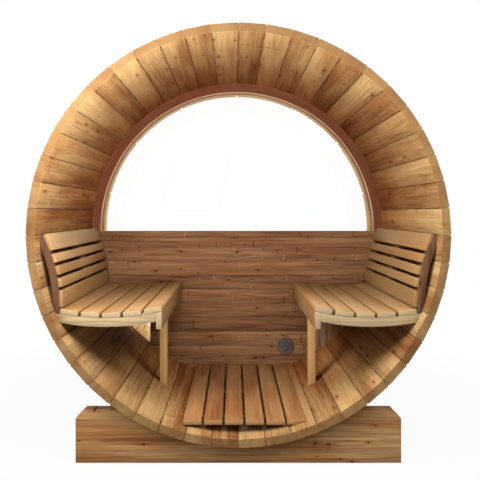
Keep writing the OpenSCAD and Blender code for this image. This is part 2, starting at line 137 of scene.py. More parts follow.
class Recipe:
    """The nodes of a material or a world, added and wired one by one."""

    def __init__(self, holder: bpy.types.Material | bpy.types.World) -> None:
        """Clears the nodes.

        Args:
            holder: The material or world that the nodes belong to.
        """
        self.holder = holder
        self.holder.use_nodes = True
        self.tree = self.holder.node_tree
        self.tree.nodes.clear()

    def add(self, kind: str, inputs: dict, output: int | str = 0, **settings: object) -> Socket:
        """Adds a node.

        Args:
            kind: The node's type.
            inputs: What each input is set to or wired from.
            output: Which output to hand back.
            **settings: The node's own settings.

        Returns:
            The chosen output.
        """
        node = self.tree.nodes.new(kind)
        for key, setting in settings.items():
            setattr(node, key, setting)
        for key, source in inputs.items():
            if isinstance(source, bpy.types.NodeSocket):
                self.tree.links.new(source, node.inputs[key])
            else:
                node.inputs[key].default_value = source
        return node.outputs[output] if len(node.outputs) else None

    def math(self, operation: str, *terms: Value, clamp: bool = False) -> Socket:
        """A sum, product or other single step.

        Args:
            operation: Blender's name for the step.
            *terms: What it works on.
            clamp: Whether the result stays from 0 to 1.

        Returns:
            The result.
        """
        return self.add(
            "ShaderNodeMath", dict(enumerate(terms)), operation=operation, use_clamp=clamp
        )

    def vector(self, operation: str, *terms: object, output: int | str = 0) -> Socket:
        """A single step on vectors.

        Args:
            operation: Blender's name for the step.
            *terms: What it works on.
            output: Which output to hand back.

        Returns:
            The result.
        """
        return self.add(
            "ShaderNodeVectorMath", dict(enumerate(terms)), output, operation=operation
        )

    def split(self, source: Socket) -> tuple[Socket, Socket, Socket]:
        """The three parts of a vector."""
        first = self.add("ShaderNodeSeparateXYZ", {0: source})
        return first.node.outputs[0], first.node.outputs[1], first.node.outputs[2]

    def join(self, x: Value, y: Value, z: Value) -> Socket:
        """A vector of three parts."""
        return self.add("ShaderNodeCombineXYZ", {0: x, 1: y, 2: z})

    def attribute(self, name: str, output: str) -> Socket:
        """What the boards carry under a name."""
        return self.add("ShaderNodeAttribute", {}, output, attribute_name=name)

    def place(self) -> Socket:
        """The place on the object, in metres."""
        return self.add("ShaderNodeTexCoord", {}, "Object")

    def noise(self, at: Socket, often: Often, detail: float = 2.0, rough: float = 0.5,
              output: int = 0) -> Socket:
        """Soft noise.

        Args:
            at: The place.
            often: How often the noise changes in a metre, each way.
            detail: How many finer layers it has.
            rough: How strong those are.
            output: 0 for a number, 1 for a vector.

        Returns:
            The noise, round 0.5.
        """
        spread = self.vector("MULTIPLY", at, often)
        inputs = {"Vector": spread, "Scale": 1.0, "Detail": detail, "Roughness": rough}
        return self.add("ShaderNodeTexNoise", inputs, output)

    def sway(self, source: Socket, reach: float, base: Value) -> Socket:
        """A base that a source round 0.5 moves up and down."""
        return self.math("MULTIPLY_ADD", self.math("SUBTRACT", source, 0.5), reach, base)

    def ease(self, source: Value, start: Value, end: Value, low: float = 0.0, high: float = 1.0) -> Socket:
        """A smooth rise from low at start to high at end."""
        inputs = {"Value": source, "From Min": start, "From Max": end, "To Min": low, "To Max": high}
        return self.add("ShaderNodeMapRange", inputs, interpolation_type="SMOOTHSTEP")

    def blend(self, share: Value, first: object, second: object, how: str = "MIX") -> Socket:
        """One colour over another.

        Args:
            share: How much of the second shows.
            first: The colour below.
            second: The colour above.
            how: Blender's name for the blend.

        Returns:
            The blended colour.
        """
        paints = [c if isinstance(c, bpy.types.NodeSocket) else (*c, 1.0) for c in (first, second)]
        inputs = {0: share, 6: paints[0], 7: paints[1]}
        return self.add("ShaderNodeMix", inputs, 2, data_type="RGBA", blend_type=how)

    def surface(self, shader: Socket) -> bpy.types.Material:
        """Wires a shader to the surface and hands back the material."""
        self.add("ShaderNodeOutputMaterial", {0: shader})
        return self.holder

    def seen(self) -> Socket:
        """1 for what the camera sees, straight, in a gloss or through glass."""
        path = self.add("ShaderNodeLightPath", {}, "Is Camera Ray").node
        seen = self.math("MAXIMUM", path.outputs["Is Camera Ray"], path.outputs["Is Glossy Ray"])
        return self.math("MAXIMUM", seen, path.outputs["Is Transmission Ray"])


@dataclass(frozen=True)
class Wood:
    """Sawn softwood: rings round a pith, streaks, knots and a tone per board."""

    name: str
    pale: Colour
    dark: Colour
    ruddy: Colour
    knot: Colour
    # The colour of sawn ends, also used as painted light on faces marked to take it
    end: Colour
    tone: float = 0.5
    bands: float = 0.5
    streaks: float = 0.3
    ring_gap: float = 0.006
    rings: float = 0.14
    knot_share: float = 0.35
    knot_size: float = 0.010
    knot_cell: tuple[float, float] = (0.10, 0.16)
    knot_heart: float = 0.62
    knot_swirl: tuple[float, float] = (3.4, 0.5)
    knot_shadow: float = 1.9
    ring_bulge: float = 1.6
    pith_wander: float = 0.034
    mark_share: float = 0.0
    mark_cell: tuple[float, float] = (0.075, 0.12)
    mark_thick: tuple[float, float] = (0.0036, 0.0014)
    mark_reach: tuple[float, float] = (0.032, 0.018)
    seam: float = 0.0
    seam_edge: tuple[float, float] = (0.0052, 0.0012)
    # Painted shade: a stave's inner face is painted darker and redder towards the rear wall, where less
    # light reaches
    deeper: float = 0.0
    deeper_along: tuple[float, float] = (-0.7, 0.34)
    deeper_face: float = -0.015
    deeper_tint: Colour = (0.74, 0.44, 0.29)
    oiled: Colour = (0.55, 0.55, 0.54)
    roughness: float = 0.62
    sheen: float = 0.012
    relief: float = 0.25

    def mixed(self) -> bpy.types.Material:
        """Makes the material.

        Returns:
            A material that reads each board's own grain.
        """
        r = Recipe(bpy.data.materials.new(self.name))
        grain = r.attribute("grain", "Vector")
        seed, pith_u, pith_w = r.split(r.attribute("board", "Vector"))
        tone = r.attribute("tone", "Fac")
        half = r.attribute("half", "Fac")
        end = r.attribute("end", "Fac")
        apart = r.vector("MULTIPLY", r.join(seed, seed, seed), BOARD_APART)
        at = r.vector("ADD", grain, apart)
        u, v, w = r.split(grain)

        wander = r.noise(at, WANDER, output=1)
        bend_u, bend_w, _ = r.split(r.vector("SUBTRACT", wander, (0.5, 0.5, 0.5)))

        distance, size, du, dv = self._knots(r, at)
        edge = r.math("MULTIPLY", size, self.knot_heart)
        knot = r.ease(distance, size, edge)
        swirl_start, swirl_end = (r.math("MULTIPLY", size, times) for times in self.knot_swirl)
        swirl = r.ease(distance, swirl_start, swirl_end)
        drawn = r.vector("LENGTH", r.join(du, r.math("MULTIPLY", dv, 0.2), 0.0), output="Value")
        shadow = r.ease(drawn, r.math("MULTIPLY", size, self.knot_shadow), 0.0)

        far_u = r.math("SUBTRACT", r.math("MULTIPLY_ADD", bend_u, self.pith_wander, u), pith_u)
        far_w = r.math("SUBTRACT", r.math("MULTIPLY_ADD", bend_w, self.pith_wander, w), pith_w)
        radius = r.vector("LENGTH", r.join(far_u, far_w, 0.0), output="Value")
        radius = r.math("MULTIPLY_ADD", swirl, r.math("MULTIPLY", size, self.ring_bulge), radius)
        year = r.math("FRACT", r.math("DIVIDE", radius, self.ring_gap))
        late = r.math("MULTIPLY", r.ease(year, 0.25, 0.85), r.ease(year, 1.0, 0.9))

        fine = r.noise(at, FINE_STREAKS, 1.0)
        mid = r.noise(at, STREAKS, 3.0, 0.6)
        shade = r.sway(tone, self.tone, 0.55)
        shade = r.sway(mid, self.streaks * 2.2, shade)
        shade = r.sway(r.noise(at, BROAD_BANDS), self.bands * 2.0, shade)
        shade = r.sway(fine, self.streaks, shade)
        shade = r.math("MULTIPLY_ADD", late, -self.rings, shade, clamp=True)
        colour = r.blend(shade, self.dark, self.pale)
        warmth = r.ease(r.noise(at, WARM_PATCHES, 1.0), 0.42, 0.72, 0.0, 0.55)
        colour = r.blend(warmth, colour, self.ruddy, "MULTIPLY")
        colour = r.blend(r.math("MULTIPLY", shadow, 0.85), colour, self.ruddy, "MULTIPLY")
        lines = r.ease(r.noise(at, DARK_STREAKS, 1.0), 0.62, 0.74, 0.0, 0.45)
        colour = r.blend(lines, colour, self.dark)
        if self.mark_share:
            share, paint = self._marks(r, at)
            on_face = r.math("LESS_THAN", end, 0.3)
            colour = r.blend(r.math("MULTIPLY", share, on_face), colour, paint)
        # Painted shade: the inner faces darken towards the rear wall
        if self.deeper:
            colour = r.blend(self._deeper_share(r, v, w), colour, self.deeper_tint, "MULTIPLY")
        heart = r.blend(r.ease(distance, edge, 0.0), self.knot, self.dark)
        colour = r.blend(r.math("MULTIPLY", knot, 0.93), colour, heart)
        if self.seam:
            from_edge = r.math("SUBTRACT", half, r.math("ABSOLUTE", u))
            worn = r.ease(r.noise(at, SEAM_WEAR), 0.34, 0.62, 0.25, 1.0)
            seam = r.math("MULTIPLY", r.ease(from_edge, *self.seam_edge), worn)
            seam = r.math("MULTIPLY", seam, r.math("SUBTRACT", 1.0, end))
            colour = r.blend(r.math("MULTIPLY", seam, self.seam), colour, self.knot)
        # The end colour goes on sawn ends and, as painted light, on some front faces and chamfers
        sawn = r.blend(r.math("MULTIPLY", late, 0.45), self.end, self.dark)
        colour = r.blend(r.math("MULTIPLY", end, 0.85), colour, sawn)

        colour = r.blend(1.0, colour, self.oiled, "MULTIPLY")
        height = r.math("MULTIPLY_ADD", mid, 0.4, r.math("MULTIPLY", late, 0.6))
        height = r.math("MULTIPLY_ADD", fine, 0.5, height)
        bump = r.add(
            "ShaderNodeBump", {"Strength": self.relief, "Distance": 0.0007, "Height": height}
        )
        rough = r.sway(fine, 0.18, self.roughness)
        shader = r.add(
            "ShaderNodeBsdfPrincipled",
            {"Base Color": colour, "Roughness": rough, "Normal": bump, "Specular IOR Level": self.sheen},
        )
        return r.surface(shader)

    def _deeper_share(self, r: Recipe, v: Socket, w: Socket) -> Socket:
        """Painted shade: how much darker and redder a stave's inner face is painted, more towards the rear
        wall, where the room's light falls off.

        Args:
            r: The recipe it goes into.
            v: The place along the stave.
            w: The place through it, below 0 on the room's side.

        Returns:
            The share, 0 outside the room.
        """
        start, end = self.deeper_along
        on_face = r.math("LESS_THAN", w, self.deeper_face)
        inside = r.math("MULTIPLY", on_face, r.math("LESS_THAN", v, end + 0.02))
        return r.math("MULTIPLY", inside, r.ease(v, start, end, 0.0, self.deeper))

    def _scatter(self, r: Recipe, at: Socket, cell: tuple[float, float], loose: float) -> tuple[Socket, ...]:
        """Throws one point into each cell of the boards.

        Args:
            r: The recipe it goes into.
            at: The place on the board, apart from every other board.
            cell: A cell's size across and along the board.
            loose: How far a point may stray from its cell's middle.

        Returns:
            The way to the nearest point across and along the board, and two
            numbers thrown for that point.
        """
        u, v, _ = r.split(at)
        cells = r.join(r.math("DIVIDE", u, cell[0]), r.math("DIVIDE", v, cell[1]), 0.0)
        near = r.add(
            "ShaderNodeTexVoronoi", {"Vector": cells, "Scale": 1.0, "Randomness": loose},
            "Position", voronoi_dimensions="2D",
        )
        du, dv, _ = r.split(r.vector("MULTIPLY", r.vector("SUBTRACT", cells, near), (*cell, 0.0)))
        first, second, _ = r.split(near.node.outputs["Color"])
        return du, dv, first, second

    def _marks(self, r: Recipe, at: Socket) -> tuple[Socket, Socket]:
        """Scatters short dark checks and pale flecks across the boards.

        Args:
            r: The recipe they go into.
            at: The place on the board, apart from every other board.

        Returns:
            How much of a mark shows, and its colour.
        """
        du, dv, luck, kind = self._scatter(r, at, self.mark_cell, 0.8)
        strayed = r.sway(r.noise(at, MARK_WIGGLE), 0.016, dv)
        line = r.ease(r.math("ABSOLUTE", strayed), *self.mark_thick)
        reach = r.ease(r.math("ABSOLUTE", du), *self.mark_reach)
        broken = r.ease(r.noise(at, MARK_BREAKS, 1.0), 0.36, 0.46)
        kept = r.math("GREATER_THAN", luck, 1 - self.mark_share)
        share = r.math("MULTIPLY", r.math("MULTIPLY", line, reach), r.math("MULTIPLY", broken, kept))
        paint = r.blend(r.math("GREATER_THAN", kind, 0.55), self.knot, self.pale)
        return r.math("MULTIPLY", share, 0.92), paint

    def _knots(self, r: Recipe, at: Socket) -> tuple[Socket, Socket, Socket, Socket]:
        """Scatters knots over the boards.

        Args:
            r: The recipe they go into.
            at: The place on the board, apart from every other board.

        Returns:
            The distance to the nearest knot, its size, and the way to it
            across and along the board.
        """
        du, dv, luck, _ = self._scatter(r, at, self.knot_cell, 0.9)
        distance = r.vector("LENGTH", r.join(du, r.math("MULTIPLY", dv, 0.8), 0.0), output="Value")
        distance = r.sway(r.noise(at, RAGGED_KNOTS, 1.0), 0.005, distance)
        size = r.math("DIVIDE", r.math("SUBTRACT", luck, 1 - self.knot_share), self.knot_share)
        size = r.math("MULTIPLY_ADD", r.math("MAXIMUM", size, 0.0), self.knot_size, 0.0004)
        return distance, size, du, dv


@dataclass(frozen=True)
class Steel:
    """Stainless strap and bolts, brushed along their length."""

    name: str = "brushed_hoop_steel"
    bright: Colour = tint(132, 132, 129)
    dull: Colour = tint(100, 99, 97)
    brushing: Often = (3.0, 900.0, 3.0)
    roughness: float = 0.34

    def mixed(self) -> bpy.types.Material:
        """Makes the material."""
        r = Recipe(bpy.data.materials.new(self.name))
        at = r.place()
        brushed = r.noise(at, self.brushing, 3.0)
        cloudy = r.noise(at, (9.0, 9.0, 9.0), 3.0)
        colour = r.blend(r.ease(cloudy, 0.35, 0.7), self.bright, self.dull)
        rough = r.math("MULTIPLY_ADD", brushed, 0.25, self.roughness)
        bump = r.add("ShaderNodeBump", {"Strength": 0.08, "Distance": 0.0003, "Height": brushed})
        shader = r.add(
            "ShaderNodeBsdfPrincipled",
            {"Base Color": colour, "Metallic": 1.0, "Roughness": rough, "Normal": bump},
        )
        return r.surface(shader)


@dataclass(frozen=True)
class SatinPaint:
    """Brown-grey satin paint on the vent."""

    name: str = "satin_vent_paint"
    body: Colour = tint(98, 80, 72)
    worn: Colour = tint(78, 64, 57)
    roughness: float = 0.3

    def mixed(self) -> bpy.types.Material:
        """Makes the material."""
        r = Recipe(bpy.data.materials.new(self.name))
        at = r.place()
        mottle = r.noise(at, (60.0, 60.0, 60.0), 4.0)
        peel = r.noise(at, ORANGE_PEEL, 1.0)
        colour = r.blend(r.ease(mottle, 0.35, 0.7), self.body, self.worn)
        rough = r.math("MULTIPLY_ADD", mottle, 0.2, self.roughness)
        bump = r.add("ShaderNodeBump", {"Strength": 0.1, "Distance": 0.0002, "Height": peel})
        shader = r.add(
            "ShaderNodeBsdfPrincipled", {"Base Color": colour, "Roughness": rough, "Normal": bump}
        )
        return r.surface(shader)


@dataclass(frozen=True)
class ClearGlass:
    """Clear toughened glass, with a trace of green in its body."""

    name: str = "clear_window_glass"
    body: Colour = (0.994, 0.998, 0.996)

    def mixed(self) -> bpy.types.Material:
        """Makes the material."""
        r = Recipe(bpy.data.materials.new(self.name))
        at = r.place()
        smear = r.noise(at, (2.0, 2.0, 6.0), 3.0)
        rough = r.ease(smear, 0.4, 0.8, 0.0, 0.01)
        pane = r.add(
            "ShaderNodeBsdfPrincipled",
            {"Base Color": (*self.body, 1.0), "Roughness": rough, "IOR": 1.25, "Transmission Weight": 1.0},
        )
        clear = r.add("ShaderNodeBsdfTransparent", {0: (*self.body, 1.0)})
        path = r.add("ShaderNodeLightPath", {}, "Is Shadow Ray").node
        let_by = r.math("MAXIMUM", path.outputs["Is Shadow Ray"], path.outputs["Is Diffuse Ray"])
        return r.surface(r.add("ShaderNodeMixShader", {0: let_by, 1: pane, 2: clear}))


@dataclass(frozen=True)
class StudioFloor:
    """A pale floor that shows white and keeps a soft shadow."""

    name: str = "studio_floor"
    paint: Colour = (0.32, 0.32, 0.32)
    kept_white: float = 0.96
    fade: tuple[float, float] = (1.3, 2.8)

    def mixed(self) -> bpy.types.Material:
        """Makes the material."""
        r = Recipe(bpy.data.materials.new(self.name))
        paint = r.add("ShaderNodeBsdfDiffuse", {0: (*self.paint, 1.0)})
        white = r.add("ShaderNodeEmission", {0: (1.0, 1.0, 1.0, 1.0), 1: 1.0})
        away = r.vector("LENGTH", r.place(), output="Value")
        whiter = r.ease(away, self.fade[0], self.fade[1], self.kept_white, 1.0)
        share = r.math("MULTIPLY", r.seen(), whiter)
        return r.surface(r.add("ShaderNodeMixShader", {0: share, 1: paint, 2: white}))


@dataclass(frozen=True)
class Finishes:
    """The sauna's finishes by the frame's slot names, and one for the benches' legs: the bench wood painted
    paler, as painted light on the legs.
    """

    barrel_wood: Wood = Wood(
        "oiled_barrel_staves",
        pale=tint(226, 188, 130), dark=tint(144, 92, 50), ruddy=tint(214, 172, 140),
        knot=tint(52, 26, 14), end=tint(112, 86, 57), tone=0.6, bands=0.6, streaks=0.42,
        # painted shade on the staves' inner faces, darker towards the rear wall
        knot_share=0.4, mark_share=0.42, seam=0.85, deeper=0.85,
    )
    cradle_wood: Wood = Wood(
        "oiled_cradle_boards",
        pale=tint(232, 186, 130), dark=tint(156, 108, 68), ruddy=tint(226, 190, 162),
        knot=tint(52, 26, 14), end=tint(186, 142, 94), tone=0.3, bands=0.75, streaks=0.7, rings=0.3,
        knot_cell=(0.08, 0.13), knot_size=0.010, knot_share=0.55,
    )
    wall_wood: Wood = Wood(
        "oiled_wall_boards",
        pale=tint(208, 156, 112), dark=tint(116, 76, 52), ruddy=tint(226, 196, 176),
        knot=tint(46, 24, 14), end=tint(150, 104, 70), tone=0.4, streaks=0.55, rings=0.2,
        knot_cell=(0.07, 0.13), knot_size=0.010, knot_share=0.5, mark_share=0.3, seam=0.5,
    )
    arch_wood: Wood = Wood(
        "reddish_window_arch",
        pale=tint(164, 104, 74), dark=tint(122, 74, 52), ruddy=tint(232, 196, 180),
        # end is a painted highlight on the inner arch's chamfer
        knot=tint(60, 30, 18), end=tint(255, 214, 176), tone=0.1, knot_share=0.02, rings=0.1,
    )
    outer_arch_wood: Wood = Wood(
        "reddish_outer_arch",
        pale=tint(226, 166, 122), dark=tint(172, 112, 76), ruddy=tint(230, 196, 176),
        knot=tint(60, 30, 18), end=tint(150, 96, 66), tone=0.1, knot_share=0.02, rings=0.1,
    )
    # Partly painted light: the strip's own pale wood, made paler still to show light from behind on its
    # inner face
    rim_strip_wood: Wood = Wood(
        "pale_rim_strip",
        pale=tint(236, 208, 166), dark=tint(206, 168, 124), ruddy=tint(240, 220, 200),
        knot=tint(110, 66, 40), end=tint(216, 180, 134), tone=0.3, knot_share=0.05, rings=0.1,
    )
    hatch_wood: Wood = Wood(
        "planed_hatch_boards",
        pale=tint(214, 174, 134), dark=tint(172, 128, 88), ruddy=tint(226, 196, 172),
        knot=tint(80, 46, 30), end=tint(186, 142, 102), tone=0.3, knot_share=0.1, seam=0.6,
    )
    bench_wood: Wood = Wood(
        "clear_bench_boards",
        pale=tint(200, 162, 112), dark=tint(164, 122, 76), ruddy=tint(232, 202, 172),
        # end is the colour of the slats' sawn ends, and also painted light on the ribs' front faces
        knot=tint(120, 74, 44), end=tint(206, 185, 147), tone=0.35, bands=0.35,
        streaks=0.2, rings=0.1, knot_share=0.03, knot_size=0.006, roughness=0.52, sheen=0.06,
    )
    # Painted light: the bench wood made paler, with a pale end colour for the front faces, so the legs look
    # lit from the front
    leg_boards: Wood = Wood(
        "clear_leg_boards",
        pale=tint(214, 172, 118), dark=tint(176, 132, 84), ruddy=tint(232, 202, 172),
        knot=tint(120, 74, 44), end=tint(250, 200, 138), oiled=(0.66, 0.66, 0.64), tone=0.35,
        bands=0.35, streaks=0.2, rings=0.1, knot_share=0.03, knot_size=0.006, roughness=0.52,
    )
    upright_wood: Wood = Wood(
        "dark_uprights",
        pale=tint(146, 110, 82), dark=tint(88, 62, 45), ruddy=tint(226, 200, 186),
        knot=tint(40, 22, 14), end=tint(104, 76, 58), tone=0.2, streaks=0.6, knot_share=0.3,
    )
    floor_wood: Wood = Wood(
        "sanded_floor_slats",
        pale=tint(204, 154, 102), dark=tint(138, 90, 54), ruddy=tint(222, 186, 156),
        knot=tint(74, 38, 22), end=tint(206, 162, 110), tone=0.4, knot_share=0.12, seam=0.4,
    )
    window_glass: ClearGlass = ClearGlass()
    hoop_steel: Steel = Steel()
    vent_metal: SatinPaint = SatinPaint()

    def dress(self, piece: Piece, slot: str, *nodes: str) -> Piece:
        """Gives a made piece its finish and puts it on the frame.

        Args:
            piece: The finished shape.
            slot: The record's slot, which is also the finish's field name.
            *nodes: The frame's nodes that it stands for.

        Returns:
            The same piece.
        """
        piece.data.materials.clear()
        piece.data.materials.append(self.of(slot))
        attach(piece, BODY)
        if nodes:
            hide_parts(*nodes)
        log.info("%s: %d faces, %s", piece.name, len(piece.data.polygons), slot)
        return piece

    def of(self, slot: str) -> bpy.types.Material:
        """The slot's material, made once."""
        finish = getattr(self, slot)
        return bpy.data.materials.get(finish.name) or finish.mixed()


# ---- joinery ----


def select_only(*chosen: Piece) -> None:
    """Leaves only these objects selected, the last one active."""
    if bpy.context.object and bpy.context.object.mode != "OBJECT":
        bpy.ops.object.mode_set(mode="OBJECT")
    bpy.ops.object.select_all(action="DESELECT")
    for one in chosen:
        one.select_set(True)
    bpy.context.view_layer.objects.active = chosen[-1]


def settle(piece: Piece) -> Piece:
    """Moves a piece's place, turn and scale into its mesh."""
    select_only(piece)
    bpy.ops.object.transform_apply(location=True, rotation=True, scale=True)
    return piece


def block(name: str, low: Vector, high: Vector) -> Piece:
    """Adds a sawn block.

    Args:
        name: Its name.
        low: Its lowest corner.
        high: Its highest corner.

    Returns:
        The block, with its place in its mesh.
    """
    bpy.ops.mesh.primitive_cube_add(size=1, location=(low + high) / 2, scale=high - low)
    piece = bpy.context.object
    piece.name = name
    return settle(piece)


def rod(name: str, middle: Vector, direction: Vector, radius: float, length: float, sides: int) -> Piece:
    """Adds a round or many-sided bar.

    Args:
        name: Its name.
        middle: Its middle.
        direction: The way it runs.
        radius: Its radius to the corners.
        length: Its length.
        sides: How many sides it has.

    Returns:
        The bar, with its place in its mesh.
    """
    turn = direction.to_track_quat("Z", "Y").to_euler()
    bpy.ops.mesh.primitive_cylinder_add(
        vertices=sides, radius=radius, depth=length, location=middle, rotation=turn
    )
    piece = bpy.context.object
    piece.name = name
    return settle(piece)


def edit(piece: Piece, kind: str = "EDGE") -> None:
    """Opens a piece in edit mode with nothing selected."""
    select_only(piece)
    bpy.ops.object.mode_set(mode="EDIT")
    bpy.ops.mesh.select_mode(type=kind)
    bpy.ops.mesh.select_all(action="DESELECT")


def pick_edges(piece: Piece, wanted: Callable[[Vector, Vector], bool]) -> None:
    """Selects the edges whose two ends answer a question with yes."""
    mesh = bmesh.from_edit_mesh(piece.data)
    for one in mesh.edges:
        one.select_set(wanted(one.verts[0].co, one.verts[1].co))
    mesh.select_flush_mode()
    bmesh.update_edit_mesh(piece.data)


def pick_faces(piece: Piece, wanted: Callable[[Vector, Vector], bool]) -> None:
    """Selects the faces whose middle and normal answer a question with yes."""
    mesh = bmesh.from_edit_mesh(piece.data)
    for one in mesh.faces:
        one.select_set(wanted(one.calc_center_median(), one.normal))
    mesh.select_flush_mode()
    bmesh.update_edit_mesh(piece.data)


def close(piece: Piece, angle: float = 32.0) -> Piece:
    """Leaves edit mode and smooths what is meant to be round."""
    select_only(piece)
    bpy.ops.object.shade_smooth_by_angle(angle=math.radians(angle))
    return piece


def joined(name: str, parts: Sequence[Piece]) -> Piece:
    """Joins parts into one piece."""
    select_only(*parts)
    if len(parts) > 1:
        bpy.ops.object.join()
    whole = bpy.context.object
    whole.name = name
    return whole


def copy_of(master: Piece, place: Matrix, name: str) -> Piece:
    """Copies a modelled part to another place, with a mesh of its own.

    Args:
        master: The part that was modelled.
        place: Where the copy goes, from where the part is.
        name: The copy's name.

    Returns:
        The copy.
    """
    mesh = master.data.copy()
    mesh.transform(place)
    piece = bpy.data.objects.new(name, mesh)
    bpy.context.scene.collection.objects.link(piece)
    return piece


def turned(height: float, angle: float) -> Matrix:
    """A turn round the barrel's axis, which lies at a height."""
    return (
        Matrix.Translation((0, 0, height))
        @ Matrix.Rotation(angle, 4, "Y")
        @ Matrix.Translation((0, 0, -height))
    )


def ease_metal(piece: Piece) -> None:
    """Rounds every edge of a small metal part."""
    edit(piece)
    bpy.ops.mesh.select_all(action="SELECT")
    bpy.ops.mesh.bevel(offset=METAL_EDGE, segments=2, affect="EDGES")
    select_only(piece)


def discard(*parts: Piece) -> None:
    """Clears away parts that were only modelled to be copied."""
    for part in parts:
        bpy.data.meshes.remove(part.data)


@dataclass(frozen=True)
class Grain:
    """Which way the grain of a board runs and which face it shows."""

    along: Vector
    face: Vector

    def lay(self, piece: Piece, centre: Vector | None = None) -> Piece:
        """Writes the board's own coordinates and its sawn ends.

        Args:
            piece: The board.
            centre: The board's middle, or None for the middle of its box.

        Returns:
            The same board.
        """
        mesh = piece.data
        points = [vertex.co.copy() for vertex in mesh.vertices]
        if centre is None:
            low = Vector(map(min, *points))
            high = Vector(map(max, *points))
            centre = (low + high) / 2
        across = self.along.cross(self.face)
        rows: list[float] = []
        for point in points:
            from_centre = point - centre
            rows += (from_centre.dot(across), from_centre.dot(self.along), from_centre.dot(self.face))
        write_vectors(mesh, "grain", rows)
        sawn = [1.0 if abs(face.normal.dot(self.along)) > 0.8 else 0.0 for face in mesh.polygons]
        write_ends(mesh, sawn)
        return piece


@dataclass(frozen=True)
class RoundGrain:
    """Grain that follows an arch round the barrel's axis."""

    height: float
    radius: float
    middle: float

    def lay(self, piece: Piece) -> Piece:
        """Writes the board's own coordinates, bent round the axis."""
        rows: list[float] = []
        for vertex in piece.data.vertices:
            x, z = vertex.co.x, vertex.co.z - self.height
            rows += (
                math.hypot(x, z) - self.radius,
                math.atan2(x, z) * self.radius,
                vertex.co.y - self.middle,
            )
        write_vectors(piece.data, "grain", rows)
        write_ends(piece.data, [0.0] * len(piece.data.polygons))
        return piece


def write_vectors(mesh: bpy.types.Mesh, name: str, rows: Sequence[float]) -> None:
    """Writes three numbers to every point of a mesh."""
    held = mesh.attributes.get(name) or mesh.attributes.new(name, "FLOAT_VECTOR", "POINT")
    held.data.foreach_set("vector", rows)


def write_number(mesh: bpy.types.Mesh, name: str, number: float) -> None:
    """Writes one number to every point of a mesh."""
    held = mesh.attributes.get(name) or mesh.attributes.new(name, "FLOAT", "POINT")
    held.data.foreach_set("value", [number] * len(mesh.vertices))


def write_ends(mesh: bpy.types.Mesh, sawn: Sequence[float]) -> None:
    """Marks the faces that take the end colour: the sawn ends, and the faces on which that colour is painted
    light.
    """
    held = mesh.attributes.get("end") or mesh.attributes.new("end", "FLOAT", "FACE")
    held.data.foreach_set("value", sawn)


def pick_board(piece: Piece, dice: random.Random, tone: float | None = None,
               half: float | None = None) -> Piece:
    """Makes a board one of its own: its pith, its pattern and its tone.

    Args:
        piece: The board.
        dice: The seeded dice of its sub-assembly.
        tone: How pale it is from 0 to 1, or None to throw for it.
        half: Half its width, or None for the reach of its own grain.

    Returns:
        The same board.
    """
    count = len(piece.data.vertices)
    if half is None:
        half = max(abs(row.vector[0]) for row in piece.data.attributes["grain"].data)
    write_number(piece.data, "half", half)
    depth = dice.choice((-1, 1)) * dice.uniform(*PITH_DEPTH)
    row = [dice.random(), dice.uniform(-PITH_ASIDE, PITH_ASIDE), depth]
    write_vectors(piece.data, "board", row * count)
    write_number(piece.data, "tone", dice.random() if tone is None else tone)
    return piece


def cut_from_frame(node: str, name: str, grain: Grain, dice: random.Random, ease: float = 0.0015,
                   tone: float | None = None, half: float | None = None) -> Piece:
    """Planes the boards of a frame's node: merged, eased and told apart.

    Args:
        node: The frame's node.
        name: The new piece's name.
        grain: How the grain of its boards lies.
        dice: The seeded dice of its sub-assembly.
        ease: How far the boards' edges are rounded.
        tone: How pale the boards are, or None to throw for each.
        half: Half their width, or None for the reach of each one's grain.

    Returns:
        The boards as one piece.
    """
    source = bpy.data.objects[node]
    rough = copy_of(source, Matrix.Identity(4), name)
    select_only(rough)
    if rough.data.has_custom_normals:
        bpy.ops.mesh.customdata_custom_splitnormals_clear()
    bpy.ops.object.mode_set(mode="EDIT")
    bpy.ops.mesh.select_mode(type="EDGE")
    bpy.ops.mesh.select_all(action="SELECT")
    bpy.ops.mesh.remove_doubles(threshold=MERGE)
    bpy.ops.mesh.dissolve_limited(angle_limit=FLAT)
    bpy.ops.mesh.select_all(action="DESELECT")
    bpy.ops.mesh.edges_select_sharp(sharpness=SHARP)
    bpy.ops.mesh.bevel(offset=ease, segments=2, affect="EDGES", clamp_overlap=True)
    bpy.ops.mesh.select_all(action="SELECT")
    bpy.ops.mesh.separate(type="LOOSE")
    bpy.ops.object.mode_set(mode="OBJECT")
    boards = sorted(
        (one for one in bpy.context.selected_objects if one.type == "MESH"),
        key=lambda one: tuple(round(c, 4) for c in middle_of(one)),
    )
    for board in boards:
        pick_board(grain.lay(board), dice, tone, half)
    return close(joined(name, boards))


def middle_of(piece: Piece) -> Vector:
    """The middle of a piece's box."""
    corners = [Vector(corner) for corner in piece.bound_box]
    return sum(corners, Vector()) / len(corners)


def make_boards(finishes: Finishes, node: str, name: str, slot: str, grain: Grain, dice: random.Random,
                **work: float | None) -> Piece:
    """Planes the boards of a frame's node and gives them their finish.

    Args:
        finishes: The sauna's finishes.
        node: The frame's node.
        name: The new piece's name.
        slot: Its finish.
        grain: How the grain of its boards lies.
        dice: The seeded dice of its sub-assembly.
        **work: The ease, tone and half width that cut_from_frame takes.

    Returns:
        The boards as one piece.
    """
    return finishes.dress(cut_from_frame(node, name, grain, dice, **work), slot, node)


def dress_frame(finishes: Finishes, node: str, slot: str) -> None:
    """Gives one of the frame's own nodes its finish."""
    shown = bpy.data.objects[node]
    shown.data.materials.clear()
    shown.data.materials.append(finishes.of(slot))
    log.info("%s: the frame's own shape, %s", node, slot)


# ---- the sauna's sub-assemblies ----


